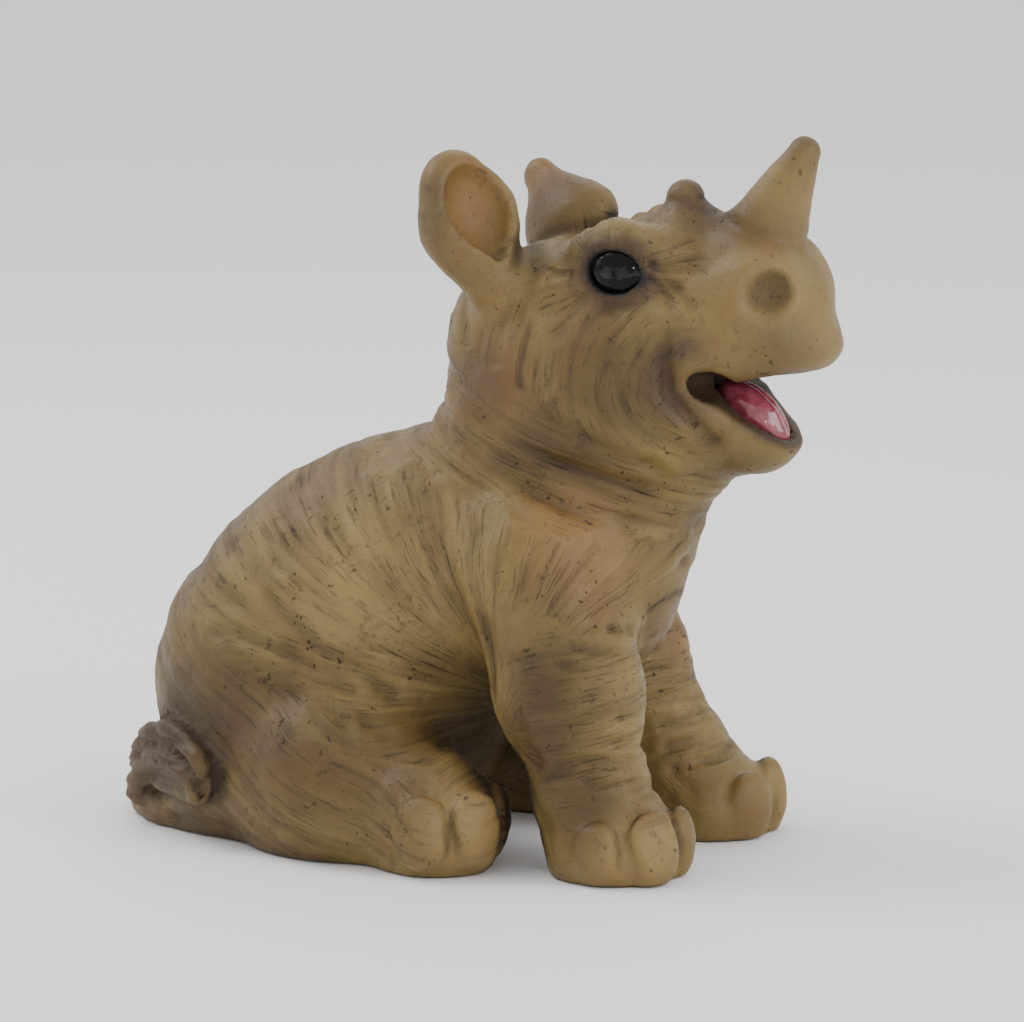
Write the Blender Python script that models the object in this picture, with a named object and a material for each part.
"""Seated rhinoceros calf, a figurine cast in one piece of resin.

The calf sits on its rump with its hind legs stretched forward, props itself on straight
front legs, lifts its head and opens its mouth. It faces +X, its left side is +Y, and it
rests on z = 0.

The form is modelled as a sculptor builds up clay: rounded masses are pressed together
with soft joints, and hollows are scooped out of them. Each mass is a distance function,
sampled on a grid, and the zero surface of the sum becomes the mesh. Places and sizes of
the masses are in hundredths of the figure's height, so the pose keeps its proportions
when HEIGHT changes.
"""

import itertools
import math

import bpy
import bmesh
import numpy as np

# Driving dimensions, in metres
HEIGHT = 0.075
FACES_KEPT = 9600
SOLE_SNAP = 0.35
TAIL_STATIONS = 14
EDGE_MARGIN = 0.08

# One hundredth of the height is the unit of every place and radius below
UNIT = HEIGHT / 100
LOW_CORNER = (-62.0, -42.0, -4.0)
HIGH_CORNER = (60.0, 42.0, 104.0)
SKIN_STEP = 1.3
FAR_FOOT_BACK = 1.8
EYE_CENTRE = (25.6, 8.6, 81.6)
EYE_RADII = (5.4, 4.8, 4.6)

# Cast resin as the photograph shows it
RESIN_COLOUR = (0.27, 0.21, 0.125, 1.0)
RESIN_ROUGHNESS = 0.45


# Distance functions: negative inside a mass, positive outside, zero on its surface

def ball(points, centre, radius):
    return np.linalg.norm(points - np.array(centre, np.float32), axis=-1) - radius


def turned(points, centre, pitch=0.0, yaw=0.0, roll=0.0):
    """Points seen from a frame at centre, turned by roll about X, pitch about Y, then yaw about Z, in degrees."""
    a, b, c = (math.radians(v) for v in (roll, pitch, yaw))
    about_x = np.array([[1, 0, 0], [0, math.cos(a), -math.sin(a)], [0, math.sin(a), math.cos(a)]])
    about_y = np.array([[math.cos(b), 0, math.sin(b)], [0, 1, 0], [-math.sin(b), 0, math.cos(b)]])
    about_z = np.array([[math.cos(c), -math.sin(c), 0], [math.sin(c), math.cos(c), 0], [0, 0, 1]])
    return (points - np.array(centre, np.float32)) @ (about_z @ about_y @ about_x).astype(np.float32)


def egg(points, centre, radii, **turn):
    """An ellipsoid."""
    local = turned(points, centre, **turn) if turn else points - np.array(centre, np.float32)
    radii = np.array(radii, np.float32)
    near = np.linalg.norm(local / radii, axis=-1)
    slope = np.linalg.norm(local / radii ** 2, axis=-1)
    return near * (near - 1) / np.maximum(slope, 1e-6)


def limb(points, start, end, start_radius, end_radius):
    """A tapered sausage from start to end."""
    start, end = np.array(start, np.float32), np.array(end, np.float32)
    along = end - start
    length = np.linalg.norm(along)
    share = np.clip((points - start) @ along / length ** 2, 0, 1)
    axis_point = start + share[..., None] * along
    return np.linalg.norm(points - axis_point, axis=-1) - (start_radius + share * (end_radius - start_radius))


def joined(one, other, softness):
    """Two masses pressed together, with a soft joint about as wide as softness."""
    mix = np.clip(0.5 + 0.5 * (other - one) / softness, 0, 1)
    return other + (one - other) * mix - softness * mix * (1 - mix)


def scooped(mass, tool, softness):
    """A mass with a hollow taken out of it, whose edge is as soft as softness."""
    return -joined(-mass, tool, softness)


def path(points, stations, softness):
    """A run of limbs through stations, each a place and a radius."""
    shape = None
    for (start, start_radius), (end, end_radius) in zip(stations, stations[1:]):
        piece = limb(points, start, end, start_radius, end_radius)
        shape = piece if shape is None else joined(shape, piece, softness)
    return shape


# The masses of the figure. side is the same points mirrored to +Y, so a mass given to it makes a pair

def torso(points, side):
    """Rump, seat, belly, shoulders and chest."""
    shape = egg(points, (-22, 0, 20), (26, 23.5, 24.5))
    shape = joined(shape, egg(points, (-34, 0, 3), (19.5, 18, 8.5)), 6)
    shape = joined(shape, egg(points, (-15.5, 0, 32.5), (21.5, 20, 21), pitch=-20), 7)
    shape = joined(shape, egg(points, (-2, 0, 39.3), (19, 17, 18)), 7)
    shape = joined(shape, egg(points, (13.5, 0, 39), (15.5, 16.5, 18)), 7)
    return shape


def neck(points):
    shape = path(points, [((8, 0, 44), 16), ((12.8, 0, 58), 15.4), ((16, 0, 69), 14.2)], 6)
    dewlap = path(points, [((26, 0, 54.5), 10.4), ((17.6, 0, 40), 11)], 1)
    return joined(shape, dewlap, 6)


def skull(points, side):
    shape = egg(points, (15, 0, 71), (18.5, 13.5, 12.3))
    shape = joined(shape, egg(side, (22.5, 9.2, 66), (12, 8.2, 11.5)), 5)
    shape = joined(shape, egg(points, (31, 0, 78.8), (14, 9.5, 10.2)), 4)
    brow = path(side, [((17.5, 10, 79.5), 2.6), ((20.5, 9, 83.6), 3.0), ((25, 8, 84.9), 3.2), ((31, 7.2, 84), 3)], 1)
    return joined(shape, brow, 3)


def muzzle(points, side):
    shape = egg(points, (41, 0, 77), (11, 9.5, 8))
    shape = joined(shape, egg(side, (34.5, 7.6, 73.4), (9, 6.2, 8)), 4)
    shape = joined(shape, egg(side, (43.2, 5.8, 79.4), (6.6, 5.4, 6.0)), 3)
    shape = joined(shape, egg(points, (45.8, 0, 71.8), (7.6, 7.4, 4.4), pitch=4), 3)
    return joined(shape, egg(side, (40.5, 6.2, 72), (9, 5.0, 4.8)), 4)


def lower_jaw(points, side):
    shape = path(points, [((22, 0, 61), 10), ((33, 0, 59.8), 7.6), ((41.6, 0, 59.8), 6.3)], 4)
    shape = joined(shape, egg(points, (38.5, 0, 60.6), (9, 8.4, 6.2)), 2)
    return joined(shape, egg(side, (31.5, 7.3, 63), (8, 5, 8)), 4)


def mouth_gap(points):
    """The space between the lips: a wedge from the corners of the mouth, open to the front and both sides."""
    own = turned(points, (36.8, 0, 67.2))
    upper = own[..., 2] - 0.9 + 1.2 * np.exp(-((own[..., 0] - 4.5) / 3.5) ** 2)
    slope = math.radians(37)
    lower = -(own[..., 0] * math.sin(slope) + own[..., 2] * math.cos(slope)) - 1.0
    wedge = -joined(-upper, -lower, 0.6)
    return -joined(-wedge, own[..., 0] + 0.2, 1.5)


def mouth_floor(points):
    """The trough inside the lower lip."""
    return egg(points, (40.6, 0, 63.4), (7.4, 4.8, 3.2), pitch=37)


def tongue(points):
    return egg(points, (41.0, 0, 61.7), (6.2, 3.0, 3.2), pitch=40)


def horns(points):
    tall = limb(points, (41.8, 0, 84.5), (48.1, 0, 97.6), 6.4, 2.3)
    short = limb(points, (31.2, 0, 84.6), (30.8, 0, 90.4), 7.4, 2.7)
    return tall, short


def ear(points, root, size, bowl, tip, **turn):
    """A cupped ear on its root, opening along its own X before it is turned.

    bowl is the height of its round middle, and its tip leans along its own Y by tip.
    """
    own = turned(points, root, **turn) / size
    outer = joined(egg(own, (0, 0, bowl), (4.3, 6.5, bowl + 0.2)), limb(own, (1, 0, -1), (0.5, 0, 4), 3.8, 4.6), 3)
    flat = own * np.array((1.5, 1, 1), np.float32)
    outer = joined(outer, limb(flat, (0, -0.4 * tip, bowl), (0, tip, 13.2), 6.4, 2.7) / 1.2, 4)
    cup = joined(egg(own, (3.6, 0.1 * tip, 8.8), (3.9, 4.6, 5.8)), limb(own, (4.6, -0.5 * tip, 2), (3.6, 0, 6), 0.8, 2.8), 2)
    return scooped(outer, cup, 1.3) * size


def foreleg(points, shoulder, elbow, wrist, sole):
    shape = path(points, [(shoulder, 11), (elbow, 9.6), (wrist, 7.4), (sole, 8)], 4)
    pad = (sole[0] + 1.5, sole[1], 3.0)
    return joined(shape, egg(points, pad, (9.2, 9.2, 7.2)), 3)


def hind_leg(side):
    shape = path(side, [((-30, 10, 9), 12), ((-13, 16, 9.5), 13), ((0, 20.5, 7.5), 8.8)], 6)
    return joined(shape, egg(side, (3.8, 21.8, 5.2), (9, 8.6, 10)), 3)


def toed(foot, points, centre, radius, heading, spread, height, sizes):
    """A foot with three nails round its front, which points heading degrees away from +X, and clefts between them."""
    def at(angle, away, level):
        bearing = math.radians(angle)
        return (centre[0] + away * math.cos(bearing), centre[1] + away * math.sin(bearing), level)

    nails = None
    for turn, size in zip((1, 0, -1), sizes):
        angle = heading + turn * spread
        nail = egg(points, at(angle, radius, height), (size * 0.55, size * 0.92, size * 1.15), yaw=angle)
        nails = nail if nails is None else np.minimum(nails, nail)
    foot = joined(foot, nails, 0.9)
    for turn in (0.5, -0.5):
        angle = heading + turn * spread
        top, low = at(angle + 6, radius + 1.9, height + 4.5), at(angle - 3, radius + 1.7, height - 3.5)
        cleft = limb(points, top, low, 0.9, 1.2)
        foot = scooped(foot, cleft, 1.7)
    return foot


# Each strand: half its length, the levels of its root and tip, its rise between them, how far out, and its thickness
TAIL_STRANDS = ((10.4, -1.2, 0.6, 5.2, 0.3, 2.0), (9.4, -5.4, -2.4, 5.2, 1.3, 1.9))


def tail(points):
    """A short tufted tail on the right side of the rump: two thick strands arching forwards over a pad."""
    middle = np.array((-38.2, -18.7, 9.6))
    forward = np.array((0.79, -0.61, 0))
    outward = np.array((-0.61, -0.79, 0))
    upward = np.array((0, 0, 1))
    strands = egg(points, tuple(middle - outward * 0.8), (11.5, 2.9, 5.6), yaw=-38)
    for reach, start, end, rise, out, thickness in TAIL_STRANDS:
        stations = []
        for share in np.linspace(0, 1, TAIL_STATIONS):
            level = start + (end - start) * share + rise * math.sin(math.pi * share) ** 0.7
            place = middle + forward * reach * (2 * share - 1) + upward * level + outward * out
            stations.append((tuple(place), thickness * (1 - 0.35 * share ** 2)))
        strands = joined(strands, path(points, stations, 0.5), 0.4)
    return strands


def eye_sockets(shape, side):
    """A soft mound at each eye, an almond opening pointed towards the nose, and the eyeball in it."""
    x, y, z = EYE_CENTRE
    shape = joined(shape, egg(side, (x, y + 0.6, z), (6.8, 4.2, 6.0)), 2)
    opening = egg(side, (x, y + 6, z), (4.6, 4.6, 3.5))
    corner = limb(side, (x + 2.5, y + 5, z - 0.3), (x + 5.8, y + 4.2, z - 0.9), 1.8, 0.5)
    shape = scooped(shape, joined(opening, corner, 1), 0.4)
    return np.minimum(shape, egg(side, EYE_CENTRE, EYE_RADII))


def figure(points):
    """Distance from each point to the surface of the whole figure."""
    side = points.copy()
    side[..., 1] = np.abs(side[..., 1])
    shape = torso(points, side)
    shape = joined(shape, neck(points), 6)
    shape = joined(shape, skull(points, side), 5)
    shape = joined(shape, muzzle(points, side), 3)
    shape = joined(shape, lower_jaw(points, side), 3)
    shape = joined(shape, foreleg(points, (14, -12, 41), (20.5, -15, 25), (24.5, -15.5, 9), (26.5, -15.5, 4)), 3)
    shape = joined(shape, foreleg(points, (9, 11, 41), (14.5, 13, 25), (22.5, 15, 10), (27, 15.5, 4)), 3)
    hind = side + np.array((FAR_FOOT_BACK, 0, 0), np.float32) * np.clip(points[..., 1:2] / 12, 0, 1)
    shape = joined(shape, hind_leg(hind), 3.5)
    shape = toed(shape, side, (27.6, 15.5), 8.6, 30, 52, 4.5, (3.8, 4.8, 4.2))
    shape = toed(shape, hind, (3.8, 21.8), 8.2, 24, 56, 6.2, (4.6, 4.8, 4.2))
    shape = joined(shape, tail(points), 0.6)
    tall, short = horns(points)
    shape = joined(shape, tall, 3)
    shape = joined(shape, short, 1.5)
    shape = scooped(shape, mouth_gap(points), 0.8)
    shape = scooped(shape, mouth_floor(points), 0.8)
    shape = joined(shape, tongue(points), 0.5)
    shape = joined(shape, ear(points, (5.7, -11, 80.4), 1.02, 7.8, -0.6, yaw=-30, roll=12, pitch=-12), 3.5)
    shape = joined(shape, ear(points, (9.6, 10.7, 79.6), 1.0, 4.6, 3.2, yaw=72, roll=-24, pitch=10), 2.5)
    shape = eye_sockets(shape, side)
    shape = scooped(shape, ball(side, (48.4, 11.6, 80.2), 4.0), 2.0)
    return shape


def skin(distance_to, low, high, step):
    """Vertices and faces on the zero surface of a distance function.

    The grid's cubes are split into six tetrahedra each. A tetrahedron with corners on both
    sides of the surface gives one triangle or one quadrilateral, and its neighbours share
    the edges, so the skin is always closed.
    """
    axes = [np.arange(a, b + step, step, dtype=np.float32) for a, b in zip(low, high)]
    counts = [len(axis) for axis in axes]
    values = np.empty(counts, np.float32)
    across, up = np.meshgrid(axes[1], axes[2], indexing="ij")
    for i, forward in enumerate(axes[0]):
        values[i] = distance_to(np.stack([np.full_like(across, forward), across, up], -1))
    inside = values < 0
    corners_inside = sum(
        inside[i:counts[0] - 1 + i, j:counts[1] - 1 + j, k:counts[2] - 1 + k].astype(int)
        for i in (0, 1) for j in (0, 1) for k in (0, 1))
    cells = np.argwhere((corners_inside > 0) & (corners_inside < 8))
    strides = np.array([counts[1] * counts[2], counts[2], 1])
    low_corners = cells @ strides
    values = values.ravel()
    crossings = []
    for order in itertools.permutations(range(3)):
        corners = low_corners[:, None] + np.concatenate([[0], np.cumsum(strides[list(order)])])
        outside = values[corners] >= 0
        corners = np.take_along_axis(corners, np.argsort(outside, axis=1, kind="stable"), 1)
        inner_corners = 4 - outside.sum(1)
        for number, ends in ((1, ((0, 1), (0, 2), (0, 3))), (3, ((0, 3), (1, 3), (2, 3))),
                             (2, ((0, 2), (0, 3), (1, 3), (1, 2)))):
            crossings.append(corners[inner_corners == number][:, ends])
    ends = np.concatenate([edges.reshape(-1, 2) for edges in crossings])
    ends, face_corners = np.unique(np.sort(ends, axis=1), axis=0, return_inverse=True)
    face_corners = face_corners.ravel()
    first, second = values[ends[:, 0]], values[ends[:, 1]]
    share = np.clip(first / (first - second), EDGE_MARGIN, 1 - EDGE_MARGIN)[:, None]
    nodes = np.stack(np.unravel_index(ends, counts), -1)
    places = np.array(low) + step * (nodes[:, 0] * (1 - share) + nodes[:, 1] * share)
    faces, used = [], 0
    for edges in crossings:
        amount = edges.shape[0] * edges.shape[1]
        faces += face_corners[used:used + amount].reshape(edges.shape[:2]).tolist()
        used += amount
    return places, faces


def resin():
    material = bpy.data.materials.new("cast_resin")
    material.use_nodes = True
    shader = material.node_tree.nodes["Principled BSDF"]
    shader.inputs["Base Color"].default_value = RESIN_COLOUR
    shader.inputs["Roughness"].default_value = RESIN_ROUGHNESS
    shader.inputs["Metallic"].default_value = 0.0
    return material


def sculpted_mesh():
    """The zero surface of the figure as a mesh, in metres."""
    places, faces = skin(figure, LOW_CORNER, HIGH_CORNER, SKIN_STEP)
    mesh = bpy.data.meshes.new("rhinoceros_figurine")
    mesh.from_pydata((places * UNIT).tolist(), [], faces)
    return mesh


def thinned(mesh):
    """The same form in about FACES_KEPT triangles, most of them where it bends most."""
    sculpture = bpy.data.objects.new("sculpture", mesh)
    bpy.context.scene.collection.objects.link(sculpture)
    triangles_now = sum(len(face.vertices) - 2 for face in mesh.polygons)
    thinning = sculpture.modifiers.new("thinning", "DECIMATE")
    thinning.ratio = min(1.0, FACES_KEPT / triangles_now)
    depsgraph = bpy.context.evaluated_depsgraph_get()
    result = bpy.data.meshes.new_from_object(sculpture.evaluated_get(depsgraph))
    bpy.data.objects.remove(sculpture)
    return result


def without_specks(body):
    """Delete every island of faces except the largest, such as a bubble closed inside the resin."""
    waiting, islands = set(body.faces), []
    while waiting:
        edge_of_search = [waiting.pop()]
        island = list(edge_of_search)
        while edge_of_search:
            face = edge_of_search.pop()
            for neighbour in (other for edge in face.edges for other in edge.link_faces):
                if neighbour in waiting:
                    waiting.remove(neighbour)
                    edge_of_search.append(neighbour)
                    island.append(neighbour)
        islands.append(island)
    largest = max(islands, key=len)
    for island in islands:
        if island is not largest:
            bmesh.ops.delete(body, geom=island, context="FACES")


def stood_on_its_soles(mesh):
    """Cut the seat and the feet flat at z = 0, close the cuts, and centre the figure over its own box."""
    body = bmesh.new()
    body.from_mesh(mesh)
    for vert in body.verts:
        if abs(vert.co.z) < SOLE_SNAP * UNIT:
            vert.co.z = 0
    parts = body.verts[:] + body.edges[:] + body.faces[:]
    bmesh.ops.bisect_plane(body, geom=parts, dist=1e-7, plane_co=(0, 0, 0), plane_no=(0, 0, 1), clear_inner=True)
    rims = [edge for edge in body.edges if edge.is_boundary]
    bmesh.ops.holes_fill(body, edges=rims, sides=0)
    bmesh.ops.triangulate(body, faces=[face for face in body.faces if len(face.verts) > 3])
    without_specks(body)
    bmesh.ops.recalc_face_normals(body, faces=body.faces)
    across = [vert.co.x for vert in body.verts], [vert.co.y for vert in body.verts]
    middle = [(min(values) + max(values)) / 2 for values in across]
    bmesh.ops.translate(body, verts=body.verts, vec=(-middle[0], -middle[1], 0))
    body.to_mesh(mesh)
    body.free()
    return mesh


def main():
    for old in list(bpy.data.objects):
        bpy.data.objects.remove(old)
    mesh = stood_on_its_soles(thinned(sculpted_mesh()))
    mesh.name = "rhinoceros_figurine"
    mesh.materials.clear()
    mesh.materials.append(resin())
    mesh.shade_smooth()
    figurine = bpy.data.objects.new("rhinoceros_figurine", mesh)
    bpy.context.scene.collection.objects.link(figurine)


main()
